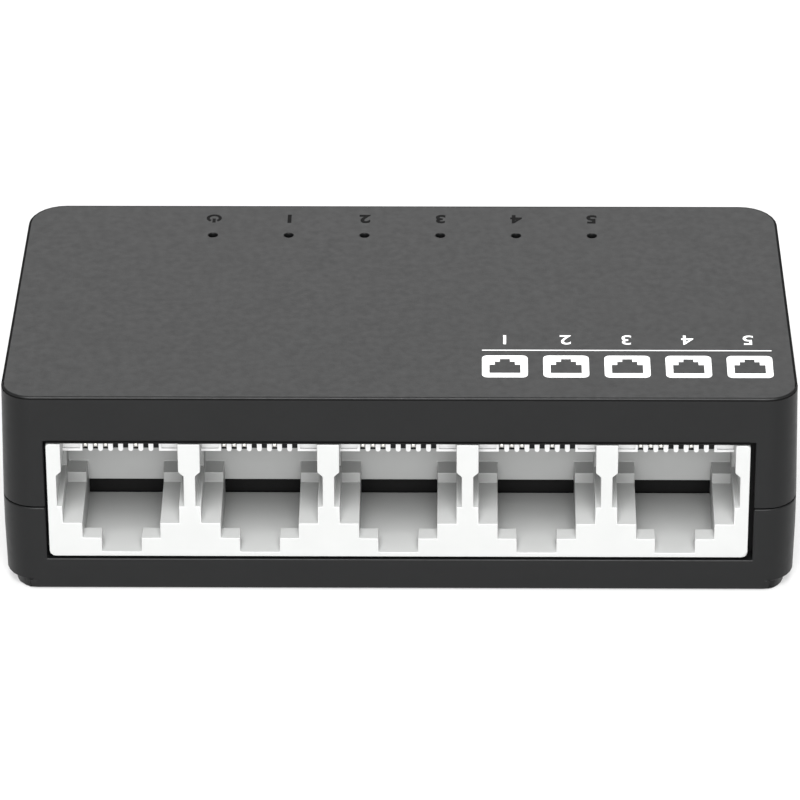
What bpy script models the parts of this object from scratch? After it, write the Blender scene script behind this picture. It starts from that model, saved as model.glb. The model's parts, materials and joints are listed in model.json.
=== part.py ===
"""Desktop network switch with five ports.

A two-part plastic case holds a circuit board. A white block of five modular sockets fills the front
opening, a barrel power inlet is in the left wall, and six indicator holes are in the top.

Metres, +Z up. The origin is under the middle of the case, on the surface that its feet stand on.
The ports face -Y and the power inlet faces -X.
"""

import math

import bmesh
import bpy
from mathutils import Matrix, Vector

MM = 0.001

# Case: two drafted shells that meet at PARTING, where they are widest
CASE_WIDTH = 80.3 * MM
CASE_DEPTH = 40.0 * MM
CASE_TOP = 22.6 * MM
CASE_BOTTOM = 0.1 * MM
PARTING = 9.8 * MM
PARTING_GAP = 0.12 * MM
DRAFT = math.radians(1.15)
UPRIGHT_BELOW_PARTING = 3.3 * MM
SIDE_TAPER = math.radians(1.03)
FRONT_CORNER = 3.3 * MM
BACK_CORNER = 4.1 * MM
TOP_EDGE_ROUND = 0.3 * MM
WALL = 1.6 * MM
ROOF = 1.5 * MM
FLOOR_TOP = 1.9 * MM
FLOOR_INSET = 0.5 * MM
PLINTH_HEIGHT = 1.0 * MM
PLINTH_INSET = 1.0 * MM
PLINTH_CORNERS = (2.5 * MM, 3.4 * MM)
PLINTH_PROUD = 0.015 * MM
LOWER_EDGE = 0.15 * MM
CORNER_SEGMENTS = 7
LIP_HEIGHT = 0.8 * MM
LIP_INSET = 0.85 * MM
LIP_CLEARANCE = 0.12 * MM
FRONT = -CASE_DEPTH / 2
BACK = CASE_DEPTH / 2

# Opening of the case round the socket block
OPENING_HALF = 35.66 * MM
OPENING_LOW = 3.67 * MM
OPENING_HIGH = 17.48 * MM

# Indicators, in a row near the back edge
LED_COUNT = 6
LED_PITCH = 7.92 * MM
LED_Y = FRONT + 33.3 * MM
LED_HOLE_RADIUS = 0.5 * MM
LIGHT_TUBE_RADIUS = 1.5 * MM
LIGHT_TUBE_BORE = 0.85 * MM
LIGHT_TUBE_LOW = 5.4 * MM
LED_HOLE_DEPTH = 0.7 * MM
LED_SIZE = (1.6 * MM, 0.8 * MM, 0.7 * MM)
LED_NAMES = ("led_power", "led_1", "led_2", "led_3", "led_4", "led_5")

# Circuit board
BOARD_TOP = 3.86 * MM
BOARD_THICKNESS = 1.2 * MM
BOARD_HALF_WIDTH = 36.75 * MM
BOARD_FRONT = FRONT + 2.7 * MM
BOARD_BACK = BACK - 2.7 * MM
BOARD_CORNER = 2.5 * MM

# Socket block: x is measured from a port's centre, y from the block's face
PORT_COUNT = 5
PORT_PITCH = 13.97 * MM
BLOCK_X = -0.12 * MM
BLOCK_FACE = FRONT
BLOCK_HALF_WIDTH = 35.27 * MM
BLOCK_DEPTH = 15.2 * MM
BLOCK_LOW = 4.04 * MM
BLOCK_HIGH = 17.24 * MM
BLOCK_LOWER_ROUND = 0.6 * MM
CAVITY_HALF = 5.875 * MM
CAVITY_DEPTH = 10.2 * MM
RAIL_TOP = 7.97 * MM
RAIL_LENGTH = 7.94 * MM
STOP_TOP = 9.11 * MM
LATCH_HALF = 3.925 * MM
LATCH_FLOOR = 4.57 * MM
LATCH_FLOOR_LENGTH = 11.5 * MM
LATCH_LEDGE = 6.2 * MM
LATCH_LIP = 2.02 * MM
TAB_HALF = 2.0 * MM
GROOVE_HALF = 6.4 * MM
GROOVE_LOW = 9.94 * MM
GROOVE_HIGH = 13.5 * MM
GROOVE_CHAMFER = 0.5 * MM
BACK_WALL_LOW = 6.92 * MM
OVERLAP = 0.5 * MM
BAY_HALF = 6.2 * MM
PEG_X = 31.0 * MM
PEG_Y = 7.5 * MM
PEG_RADIUS = 1.5 * MM
PEG_LOW = 2.9 * MM

# Comb over each cavity: eight slots with a rib between each two
SLOT_COUNT = 8
SLOT_PITCH = 1.016 * MM
RIB_WIDTH = 0.43 * MM
COMB_BACK_FROM_FACE = 3.0 * MM
COMB_LOW = 14.73 * MM
SLOT_TOP = 16.4 * MM
COMB_RIM = 0.28 * MM
COMB_POCKET_DEPTH = 0.6 * MM
LEAD_SLOT_LOW = 15.4 * MM

# Sprung contacts: slots 1, 2, 3 and 6 of each port hold one
CONTACT_SLOTS = (1, 2, 3, 6)
CONTACT_WIDTH = 0.36 * MM
CONTACT_THICKNESS = 0.28 * MM
BEND_RADIUS = 0.12 * MM
BEND_Y = 3.42 * MM
BEND_Z = 15.38 * MM
ARM_LENGTH = 5.4 * MM
ARM_SLOPE = math.radians(18)
STUB_LENGTH = 0.15 * MM
TIP_LENGTH = 0.9 * MM
TIP_RISE = 0.35 * MM
CARRIER_HALF = 5.8 * MM
CARRIER_LOW = 4.2 * MM
CARRIER_HIGH = 15.45 * MM
CARRIER_FRONT = 11.8 * MM
CARRIER_BACK = 14.9 * MM
LEAD_GROOVE_HALF = 0.25 * MM
LEAD_GROOVE_DEPTH = 0.6 * MM

# Power inlet in the left wall: its bore runs along X
JACK_FACE_X = -39.45 * MM
JACK_LENGTH = 14.2 * MM
JACK_Y = 3.5 * MM
JACK_HALF_WIDTH = 4.5 * MM
JACK_LOW = 4.14 * MM
JACK_HIGH = 15.14 * MM
JACK_BORE_Z = 10.8 * MM
JACK_BORE_RADIUS = 3.2 * MM
JACK_BORE_DEPTH = 9.8 * MM
JACK_PIN_RADIUS = 1.02 * MM
JACK_PIN_HOLE = 1.3 * MM
JACK_PIN_SETBACK = 1.6 * MM
JACK_PIN_NOSE = 0.4 * MM
JACK_PIN_TAIL = 0.6 * MM
JACK_OPENING_GAP = 0.3 * MM
LEAF_HALF_WIDTH = 1.1 * MM
LEAF_THICKNESS = 0.3 * MM
LEAF_PIVOT_X = JACK_FACE_X + 11.2 * MM
LEAF_PIVOT_Z = 6.7 * MM
LEAF_SLOT_HALF = 1.5 * MM
LEAF_SLOT_LOW = 5.4 * MM
LEAF_SLOT_FRONT = 2.0 * MM
LEAF_SLOT_TOP_BELOW_BORE = 2.0 * MM

# Fasteners, feet and label
SCREW_X = 33.6 * MM
SCREW_Y = 13.9 * MM
SCREW_RADIUS = 1.1 * MM
SCREW_HEAD_RADIUS = 1.9 * MM
SCREW_HEAD_LOW = 0.6 * MM
SCREW_HEAD_HEIGHT = 1.1 * MM
SCREW_TIP = 10.9 * MM
BOSS_RADIUS = 2.5 * MM
BOSS_JOINT = 5.6 * MM
SCREW_CLEARANCE = 0.25 * MM
PILOT_CLEARANCE = 0.12 * MM
COUNTERBORE_RADIUS = 2.2 * MM
COUNTERBORE_TOP = 2.0 * MM
FOOT_RADIUS = 3.5 * MM
FOOT_X = 30.5 * MM
FOOT_ROWS = (-13.5 * MM, 5.5 * MM)
FOOT_THICKNESS = 0.75 * MM
FOOT_RECESS_TOP = 0.9 * MM
FOOT_RECESS_RADIUS = 3.8 * MM
LABEL_HALF = Vector((17.0, 8.0)) * MM
LABEL_RECESS_TOP = 0.4 * MM
LABEL_THICKNESS = 0.12 * MM
LABEL_CORNER = 1.0 * MM
LABEL_MARGIN = 0.4 * MM
FOOT_EDGE = 0.2 * MM
DRIVE_LENGTH_HALF = 1.1 * MM
DRIVE_WIDTH_HALF = 0.2 * MM
DRIVE_DEPTH = 0.6 * MM

# Components on the board: middle, size, and the bevel of the upper edges
STANDOFF = 0.15 * MM
PACKAGE_BEVEL = 0.15 * MM
SWITCH_CHIP = ((29.6 * MM, 3.2 * MM), (10.0 * MM, 10.0 * MM, 1.4 * MM), PACKAGE_BEVEL)
TRANSFORMER_QUAD = ((-6.0 * MM, 0.9 * MM), (28.0 * MM, 8.6 * MM, 6.0 * MM), PACKAGE_BEVEL)
TRANSFORMER_SINGLE = ((16.4 * MM, 0.9 * MM), (12.7 * MM, 8.6 * MM, 6.0 * MM), PACKAGE_BEVEL)
CRYSTAL = ((26.6 * MM, 12.6 * MM), (5.0 * MM, 3.2 * MM, 1.1 * MM), PACKAGE_BEVEL)
REGULATOR = ((-26.6 * MM, 13.0 * MM), (4.9 * MM, 3.9 * MM, 1.5 * MM), PACKAGE_BEVEL)
INDUCTOR = ((-17.2 * MM, 8.9 * MM), (4.8 * MM, 4.8 * MM, 3.0 * MM), 0.7 * MM)
CAPACITOR_PLACES = (("input_capacitor", -9.6 * MM), ("output_capacitor", -2.4 * MM))
CAPACITOR_Y = 8.7 * MM
CAPACITOR_RADIUS = 2.5 * MM
CAPACITOR_HEIGHT = 7.0 * MM
CAPACITOR_EDGE = 0.3 * MM

PARTS = None
CUTTERS = None


def clear_scene():
    for obj in list(bpy.data.objects):
        bpy.data.objects.remove(obj)
    for collection in list(bpy.data.collections):
        bpy.data.collections.remove(collection)


def new_collection(name):
    collection = bpy.data.collections.new(name)
    bpy.context.scene.collection.children.link(collection)
    return collection


def new_material(name, colour, roughness, metallic=0.0):
    material = bpy.data.materials.new(name)
    material.use_nodes = True
    shader = material.node_tree.nodes["Principled BSDF"]
    shader.inputs["Base Color"].default_value = (*colour, 1.0)
    shader.inputs["Roughness"].default_value = roughness
    shader.inputs["Metallic"].default_value = metallic
    material.diffuse_color = (*colour, 1.0)
    return material


def new_object(name, bm, collection, material=None):
    """An object from a bmesh, with its normals outwards."""
    bmesh.ops.recalc_face_normals(bm, faces=bm.faces)
    mesh = bpy.data.meshes.new(name)
    bm.to_mesh(mesh)
    bm.free()
    obj = bpy.data.objects.new(name, mesh)
    if material is not None:
        mesh.materials.append(material)
    collection.objects.link(obj)
    return obj


def new_cutter(name, bm):
    cutter = new_object(name, bm, CUTTERS)
    cutter.hide_render = True
    cutter.display_type = "WIRE"
    return cutter


def combine(obj, other, operation="DIFFERENCE"):
    modifier = obj.modifiers.new(other.name, "BOOLEAN")
    modifier.operation = operation
    modifier.object = other


def box_mesh(low, high):
    """A box between two corners."""
    bm = bmesh.new()
    size = Vector(high) - Vector(low)
    middle = (Vector(high) + Vector(low)) / 2
    place = Matrix.Translation(middle) @ Matrix.Diagonal((*size, 1.0))
    bmesh.ops.create_cube(bm, size=1.0, matrix=place)
    return bm


def cylinder_mesh(start, end, radius, end_radius=None, segments=24):
    """A cylinder or a cone between two points."""
    start, end = Vector(start), Vector(end)
    way = end - start
    turn = way.to_track_quat("Z", "Y").to_matrix().to_4x4()
    bm = bmesh.new()
    bmesh.ops.create_cone(
        bm,
        cap_ends=True,
        segments=segments,
        radius1=radius,
        radius2=radius if end_radius is None else end_radius,
        depth=way.length,
        matrix=Matrix.Translation((start + end) / 2) @ turn,
    )
    return bm


def arc(centre, radius, start, end, segments):
    """Points along an arc, with its angles in radians, both ends included."""
    angles = [start + (end - start) * i / segments for i in range(segments + 1)]
    return [(centre[0] + radius * math.cos(a), centre[1] + radius * math.sin(a)) for a in angles]


def rounded_polygon(corners, radii, segments):
    """The corners of a convex outline, counter-clockwise, each replaced by an arc that its sides touch."""
    points = []
    for i, corner in enumerate(corners):
        corner = Vector(corner)
        before = (Vector(corners[i - 1]) - corner).normalized()
        after = (Vector(corners[(i + 1) % len(corners)]) - corner).normalized()
        half_angle = before.angle(after) / 2
        middle = corner + (before + after).normalized() * radii[i] / math.sin(half_angle)
        begin = corner + before * radii[i] / math.tan(half_angle) - middle
        sweep = math.pi - 2 * half_angle
        start = math.atan2(begin.y, begin.x)
        points += arc(middle, radii[i], start, start + sweep, segments)
    return points


def extruded(outline, along, start, end):
    """A flat outline made thick along X, Y or Z, from start to end."""
    place = {
        "X": lambda a, b: (start, a, b),
        "Y": lambda a, b: (a, start, b),
        "Z": lambda a, b: (a, b, start),
    }[along]
    step = Vector([end - start if along == axis else 0.0 for axis in "XYZ"])
    bm = bmesh.new()
    face = bm.faces.new([bm.verts.new(place(a, b)) for a, b in outline])
    copy = bmesh.ops.extrude_face_region(bm, geom=[face])
    moved = [item for item in copy["geom"] if isinstance(item, bmesh.types.BMVert)]
    bmesh.ops.translate(bm, verts=moved, vec=step)
    return bm


def lofted(rings):
    """A closed solid through rings of as many points each, capped at both ends."""
    bm = bmesh.new()
    loops = [[bm.verts.new(point) for point in ring] for ring in rings]
    count = len(loops[0])
    for lower, upper in zip(loops, loops[1:]):
        for i in range(count):
            j = (i + 1) % count
            bm.faces.new((lower[i], lower[j], upper[j], upper[i]))
    bm.faces.new(loops[0])
    bm.faces.new(loops[-1])
    return bm


def mirrored(half):
    """A symmetric outline from its right half, which is listed from its lowest point to its highest."""
    return half + [(-x, z) for x, z in reversed(half)]


def shifted(outline, dx):
    return [(x + dx, z) for x, z in outline]


# ---------------------------------------------------------------- case


def case_ring(inset, z, front_inset=None, corners=(FRONT_CORNER, BACK_CORNER)):
    """The case's outline at height z, moved inwards by inset. It narrows a little towards the back."""
    front, back = FRONT + (inset if front_inset is None else front_inset), BACK - inset
    slope = math.tan(SIDE_TAPER)
    side = CASE_WIDTH / 2 - inset / math.cos(SIDE_TAPER)
    front_half = side - slope * (front - FRONT)
    back_half = side - slope * (back - FRONT)
    outline = [(-front_half, front), (front_half, front), (back_half, back), (-back_half, back)]
    front_round, back_round = (corner - inset for corner in corners)
    radii = [front_round, front_round, back_round, back_round]
    return [(x, y, z) for x, y in rounded_polygon(outline, radii, CORNER_SEGMENTS)]


def draft_at(z):
    """How far the wall leans in at height z. The lower shell stands upright just below the parting."""
    away = z - PARTING if z > PARTING else max(0.0, PARTING - UPRIGHT_BELOW_PARTING - z)
    return away * math.tan(DRAFT)


def top_shell_mesh():
    low = PARTING + PARTING_GAP / 2
    shoulder = CASE_TOP - TOP_EDGE_ROUND
    inset = draft_at(shoulder)
    edge = arc((0, 0), TOP_EDGE_ROUND, 0, math.pi / 2, 3)
    rounding = [case_ring(inset + TOP_EDGE_ROUND - x, shoulder + z) for x, z in edge]
    return lofted([case_ring(0, low), *rounding])


def top_hollow_mesh():
    rebate = LIP_INSET - LIP_CLEARANCE
    rebate_top = PARTING + LIP_HEIGHT + LIP_CLEARANCE + PARTING_GAP
    ceiling = CASE_TOP - ROOF
    rings = [
        case_ring(rebate, PARTING - WALL),
        case_ring(rebate, rebate_top),
        case_ring(WALL, rebate_top),
        case_ring(WALL + draft_at(ceiling), ceiling),
    ]
    return lofted(rings)


def bottom_shell_mesh():
    high = PARTING - PARTING_GAP / 2
    inset = draft_at(CASE_BOTTOM)
    rings = [
        case_ring(inset + LOWER_EDGE, CASE_BOTTOM),
        case_ring(inset, CASE_BOTTOM + LOWER_EDGE),
        case_ring(0, PARTING - UPRIGHT_BELOW_PARTING),
        case_ring(0, high),
        case_ring(LIP_INSET, high),
        case_ring(LIP_INSET, PARTING + LIP_HEIGHT),
    ]
    return lofted(rings)


def cut_plinth_notch(cover):
    """Sets the foot of the case in at the sides and the back, but not at the front."""
    step = CASE_BOTTOM + PLINTH_HEIGHT
    beyond = 5 * MM
    low = (-CASE_WIDTH / 2 - beyond, FRONT - beyond, CASE_BOTTOM - beyond)
    notch = new_cutter("cut_plinth_notch", box_mesh(low, (-low[0], BACK + beyond, step)))
    inset = PLINTH_INSET + draft_at(step)
    corners = [corner + inset for corner in PLINTH_CORNERS]
    front_inset = draft_at(step) - PLINTH_PROUD
    rings = [case_ring(inset, z, front_inset, corners) for z in (low[2] - MM, step + MM)]
    combine(notch, new_cutter("keep_plinth", lofted(rings)))
    combine(cover, notch)


def bottom_hollow_mesh():
    floor_inset = WALL + draft_at(FLOOR_TOP) + FLOOR_INSET
    return lofted([case_ring(floor_inset, FLOOR_TOP), case_ring(WALL, PARTING + WALL)])


def case_opening_mesh():
    return box_mesh(
        (-OPENING_HALF, FRONT - WALL, OPENING_LOW), (OPENING_HALF, FRONT + 2 * WALL, OPENING_HIGH)
    )


def jack_opening_mesh():
    gap = JACK_OPENING_GAP
    return box_mesh(
        (JACK_FACE_X - WALL, JACK_Y - JACK_HALF_WIDTH - gap, JACK_LOW - gap),
        (JACK_FACE_X + 3 * WALL, JACK_Y + JACK_HALF_WIDTH + gap, JACK_HIGH + gap),
    )


def led_positions():
    return [((i - (LED_COUNT - 1) / 2) * LED_PITCH, LED_Y) for i in range(LED_COUNT)]


def screw_positions():
    return [(-SCREW_X, SCREW_Y), (SCREW_X, SCREW_Y)]


def foot_positions():
    return [(x, y) for y in FOOT_ROWS for x in (-FOOT_X, FOOT_X)]


def make_top_cover(material, openings):
    cover = new_object("top_cover", top_shell_mesh(), PARTS, material)
    combine(cover, new_cutter("cut_top_hollow", top_hollow_mesh()))
    ceiling = CASE_TOP - ROOF / 2
    for i, (x, y) in enumerate(screw_positions()):
        boss = cylinder_mesh((x, y, BOSS_JOINT + SCREW_CLEARANCE), (x, y, ceiling), BOSS_RADIUS)
        combine(cover, new_cutter(f"add_top_boss_{i}", boss), "UNION")
        pilot_radius = SCREW_RADIUS + PILOT_CLEARANCE
        pilot = cylinder_mesh((x, y, 0), (x, y, SCREW_TIP + MM), pilot_radius, segments=16)
        combine(cover, new_cutter(f"cut_pilot_{i}", pilot))
    for i, (x, y) in enumerate(led_positions()):
        tube = cylinder_mesh((x, y, LIGHT_TUBE_LOW), (x, y, ceiling), LIGHT_TUBE_RADIUS, segments=16)
        combine(cover, new_cutter(f"add_light_tube_{i}", tube), "UNION")
        bore = cylinder_mesh(
            (x, y, LIGHT_TUBE_LOW - MM), (x, y, CASE_TOP - LED_HOLE_DEPTH), LIGHT_TUBE_BORE, segments=16
        )
        combine(cover, new_cutter(f"cut_light_bore_{i}", bore))
        hole = cylinder_mesh(
            (x, y, CASE_TOP - 2 * MM), (x, y, CASE_TOP + MM), LED_HOLE_RADIUS, segments=20
        )
        combine(cover, new_cutter(f"cut_led_hole_{i}", hole))
    for cutter in openings:
        combine(cover, cutter)
    return cover


def make_bottom_cover(material, openings):
    cover = new_object("bottom_cover", bottom_shell_mesh(), PARTS, material)
    combine(cover, new_cutter("cut_bottom_hollow", bottom_hollow_mesh()))
    cut_plinth_notch(cover)
    middle = (CASE_BOTTOM + FLOOR_TOP) / 2
    for i, (x, y) in enumerate(screw_positions()):
        boss = cylinder_mesh((x, y, middle), (x, y, BOSS_JOINT), BOSS_RADIUS)
        combine(cover, new_cutter(f"add_bottom_boss_{i}", boss), "UNION")
        counterbore = cylinder_mesh((x, y, -MM), (x, y, COUNTERBORE_TOP), COUNTERBORE_RADIUS, segments=20)
        combine(cover, new_cutter(f"cut_counterbore_{i}", counterbore))
        hole = cylinder_mesh(
            (x, y, MM), (x, y, BOSS_JOINT + MM), SCREW_RADIUS + SCREW_CLEARANCE, segments=16
        )
        combine(cover, new_cutter(f"cut_screw_hole_{i}", hole))
    for i, (x, y) in enumerate(foot_positions()):
        recess = cylinder_mesh((x, y, -MM), (x, y, FOOT_RECESS_TOP), FOOT_RECESS_RADIUS)
        combine(cover, new_cutter(f"cut_foot_recess_{i}", recess))
    margin = Vector((LABEL_MARGIN, LABEL_MARGIN))
    low, high = -LABEL_HALF - margin, LABEL_HALF + margin
    label_recess = box_mesh((low.x, low.y, -MM), (high.x, high.y, LABEL_RECESS_TOP))
    combine(cover, new_cutter("cut_label_recess", label_recess))
    for cutter in openings:
        combine(cover, cutter)
    return cover


def make_screws(material):
    head_high = SCREW_HEAD_LOW + SCREW_HEAD_HEIGHT
    long, short = DRIVE_LENGTH_HALF, DRIVE_WIDTH_HALF
    for i, (x, y) in enumerate(screw_positions(), 1):
        head = cylinder_mesh(
            (x, y, SCREW_HEAD_LOW), (x, y, head_high), SCREW_HEAD_RADIUS * 0.8, SCREW_HEAD_RADIUS, 20
        )
        screw = new_object(f"case_screw_{i}", head, PARTS, material)
        middle = (SCREW_HEAD_LOW + head_high) / 2
        shank = cylinder_mesh((x, y, middle), (x, y, SCREW_TIP), SCREW_RADIUS, SCREW_RADIUS * 0.8, 12)
        combine(screw, new_cutter(f"add_shank_{i}", shank), "UNION")
        for name, half_x, half_y in (("long", long, short), ("cross", short, long)):
            drive_top = SCREW_HEAD_LOW + DRIVE_DEPTH
            slot = box_mesh((x - half_x, y - half_y, 0), (x + half_x, y + half_y, drive_top))
            combine(screw, new_cutter(f"cut_drive_{name}_{i}", slot))


def make_feet(material):
    for i, (x, y) in enumerate(foot_positions(), 1):
        foot = cylinder_mesh((x, y, 0), (x, y, FOOT_THICKNESS), FOOT_RADIUS)
        lower = [e for e in foot.edges if all(v.co.z < FOOT_EDGE for v in e.verts)]
        bmesh.ops.bevel(foot, geom=lower, offset=FOOT_EDGE, segments=2, profile=0.5, affect="EDGES")
        new_object(f"foot_{i}", foot, PARTS, material)


def make_label(material):
    """A blank rating label in its recess on the underside."""
    low = LABEL_RECESS_TOP - 0.08 * MM - LABEL_THICKNESS
    corners = [
        (-LABEL_HALF.x, -LABEL_HALF.y),
        (LABEL_HALF.x, -LABEL_HALF.y),
        (LABEL_HALF.x, LABEL_HALF.y),
        (-LABEL_HALF.x, LABEL_HALF.y),
    ]
    outline = rounded_polygon(corners, [LABEL_CORNER] * 4, 4)
    new_object("rating_label", extruded(outline, "Z", low, low + LABEL_THICKNESS), PARTS, material)


# ---------------------------------------------------------------- socket block


def port_centres():
    return [BLOCK_X + (i - (PORT_COUNT - 1) / 2) * PORT_PITCH for i in range(PORT_COUNT)]


def comb_edge():
    """The right half of a cavity's top edge, from its side to its middle: slots with round-ended ribs."""
    slot = SLOT_PITCH - RIB_WIDTH
    end = (SLOT_COUNT / 2 - 0.5) * SLOT_PITCH + slot / 2
    radius = RIB_WIDTH / 2
    points = [(CAVITY_HALF, COMB_LOW), (end, COMB_LOW)]
    for i in reversed(range(SLOT_COUNT // 2)):
        rib = i * SLOT_PITCH
        points += [(rib + SLOT_PITCH - radius, SLOT_TOP), (rib + radius, SLOT_TOP)]
        last = -math.pi if i else -math.pi / 2
        points += arc((rib, COMB_LOW + radius), radius, 0, last, 6 if i else 3)
    return points


def cavity_outline(floor, grooved):
    """A cavity's outline seen from the front. floor lists its right half below the rails' level."""
    side = [(CAVITY_HALF, floor[-1][1])]
    if grooved:
        side += [
            (CAVITY_HALF, GROOVE_LOW),
            (GROOVE_HALF, GROOVE_LOW),
            (GROOVE_HALF, GROOVE_HIGH),
            (CAVITY_HALF, GROOVE_HIGH + GROOVE_CHAMFER),
        ]
    half = floor + side + comb_edge()
    return half[:-1] + [(0.0, COMB_LOW)] + [(-x, z) for x, z in reversed(half[:-1])]


def mouth_outline():
    half = [
        (TAB_HALF, LATCH_FLOOR),
        (TAB_HALF, LATCH_LEDGE),
        (LATCH_HALF, LATCH_LEDGE),
        (LATCH_HALF, RAIL_TOP),
        (CAVITY_HALF, RAIL_TOP),
        (CAVITY_HALF, GROOVE_LOW),
        (GROOVE_HALF, GROOVE_LOW),
        (GROOVE_HALF, GROOVE_HIGH),
        (CAVITY_HALF, GROOVE_HIGH + GROOVE_CHAMFER),
        (CAVITY_HALF, BLOCK_HIGH + MM),
    ]
    return mirrored(half)


def port_cutters(port, x):
    """The hollow of one port as overlapping stretches, each between two depths behind the block's face."""
    ledge = [(TAB_HALF, LATCH_LEDGE), (LATCH_HALF, LATCH_LEDGE)]
    at_lip = [(TAB_HALF, LATCH_FLOOR), *ledge, (LATCH_HALF, RAIL_TOP)]
    past_lip = [(LATCH_HALF, LATCH_FLOOR), (LATCH_HALF, RAIL_TOP)]
    past_rails = [(LATCH_HALF, LATCH_FLOOR), (LATCH_HALF, STOP_TOP)]
    stretches = (
        ("mouth", mouth_outline(), -MM, COMB_BACK_FROM_FACE),
        ("lip", cavity_outline(at_lip, True), -OVERLAP, LATCH_LIP + OVERLAP),
        ("middle", cavity_outline(past_lip, True), LATCH_LIP, RAIL_LENGTH),
        ("rear", cavity_outline(past_rails, False), LATCH_LIP + MM, CAVITY_DEPTH),
    )
    cutters = []
    for name, outline, start, end in stretches:
        bm = extruded(shifted(outline, x), "Y", BLOCK_FACE + start, BLOCK_FACE + end)
        cutters.append(new_cutter(f"cut_{name}_{port}", bm))
    slots_half = (SLOT_COUNT * SLOT_PITCH - RIB_WIDTH) / 2
    behind = LATCH_FLOOR_LENGTH + OVERLAP
    boxes = (
        ("latch_end", LATCH_HALF, CAVITY_DEPTH - MM, behind, LATCH_FLOOR, BACK_WALL_LOW),
        ("bay", BAY_HALF, LATCH_FLOOR_LENGTH, BLOCK_DEPTH + MM, BLOCK_LOW - MM, SLOT_TOP),
        ("lead_slot", slots_half, CAVITY_DEPTH - OVERLAP, behind, LEAD_SLOT_LOW, SLOT_TOP),
    )
    for name, half, start, end, low, high in boxes:
        bm = box_mesh((x - half, BLOCK_FACE + start, low), (x + half, BLOCK_FACE + end, high))
        cutters.append(new_cutter(f"cut_{name}_{port}", bm))
    for side in (-1, 1):
        ends = sorted((x + side * (slots_half + COMB_RIM), x + side * (CAVITY_HALF - 0.05 * MM)))
        bm = box_mesh(
            (ends[0], BLOCK_FACE + COMB_BACK_FROM_FACE - 0.3 * MM, COMB_LOW + COMB_RIM),
            (ends[1], BLOCK_FACE + COMB_BACK_FROM_FACE + COMB_POCKET_DEPTH, SLOT_TOP + 0.1 * MM),
        )
        cutters.append(new_cutter(f"cut_comb_pocket_{port}_{side + 1}", bm))
    return cutters


def make_port_block(material):
    corners = [
        (BLOCK_X - BLOCK_HALF_WIDTH, BLOCK_LOW),
        (BLOCK_X + BLOCK_HALF_WIDTH, BLOCK_LOW),
        (BLOCK_X + BLOCK_HALF_WIDTH, BLOCK_HIGH),
        (BLOCK_X - BLOCK_HALF_WIDTH, BLOCK_HIGH),
    ]
    lower, upper = BLOCK_LOWER_ROUND, 0.3 * MM
    outline = rounded_polygon(corners, [lower, lower, upper, upper], 4)
    bm = extruded(outline, "Y", BLOCK_FACE, BLOCK_FACE + BLOCK_DEPTH)
    block = new_object("port_block", bm, PARTS, material)
    for side in (-1, 1):
        x, y = BLOCK_X + side * PEG_X, BLOCK_FACE + PEG_Y
        peg = cylinder_mesh((x, y, PEG_LOW), (x, y, LATCH_FLOOR - 0.2 * MM), PEG_RADIUS, segments=16)
        combine(block, new_cutter(f"add_peg_{side + 1}", peg), "UNION")
    for port, x in enumerate(port_centres(), 1):
        for cutter in port_cutters(port, x):
            combine(block, cutter)
    return block


def contact_outline():
    """A contact from the side, as (y, z) about its bend: a short stub, a front turn and a long arm."""
    inner, outer = BEND_RADIUS, BEND_RADIUS + CONTACT_THICKNESS
    turn_end = 1.5 * math.pi - ARM_SLOPE
    outside = arc((0, 0), outer, math.pi / 2, turn_end, 7)
    inside = arc((0, 0), inner, turn_end, math.pi / 2, 5)
    along = Vector((math.cos(-ARM_SLOPE), math.sin(-ARM_SLOPE)))
    across = Vector((-along.y, along.x))
    heel = along * ARM_LENGTH
    tip = along * (ARM_LENGTH + TIP_LENGTH) + across * TIP_RISE
    lower = [tuple(heel - across * outer), tuple(tip - across * outer)]
    upper = [tuple(tip - across * inner), tuple(heel - across * inner)]
    return [(STUB_LENGTH, outer), *outside, *lower, *upper, *inside, (STUB_LENGTH, inner)]


def make_contacts(material):
    for port, x in enumerate(port_centres(), 1):
        place = Vector((x, BLOCK_FACE + BEND_Y, BEND_Z))
        pivot = bpy.data.objects.new(f"port_{port}_contact_pivot", None)
        pivot.location = place
        pivot.empty_display_size = MM
        PARTS.objects.link(pivot)
        for slot in CONTACT_SLOTS:
            dx = (slot - (SLOT_COUNT + 1) / 2) * SLOT_PITCH
            bm = extruded(contact_outline(), "X", dx - CONTACT_WIDTH / 2, dx + CONTACT_WIDTH / 2)
            contact = new_object(f"port_{port}_contact_{slot}", bm, PARTS, material)
            contact.parent = pivot


def make_carriers(material):
    for port, x in enumerate(port_centres(), 1):
        low = (x - CARRIER_HALF, BLOCK_FACE + CARRIER_FRONT, CARRIER_LOW)
        high = (x + CARRIER_HALF, BLOCK_FACE + CARRIER_BACK, CARRIER_HIGH)
        carrier = new_object(f"port_{port}_contact_carrier", box_mesh(low, high), PARTS, material)
        for slot in CONTACT_SLOTS:
            lead = x + (slot - (SLOT_COUNT + 1) / 2) * SLOT_PITCH
            groove = box_mesh(
                (lead - LEAD_GROOVE_HALF, high[1] - LEAD_GROOVE_DEPTH, low[2] - MM),
                (lead + LEAD_GROOVE_HALF, high[1] + MM, high[2] + MM),
            )
            combine(carrier, new_cutter(f"cut_lead_groove_{port}_{slot}", groove))


# ---------------------------------------------------------------- power inlet


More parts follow.
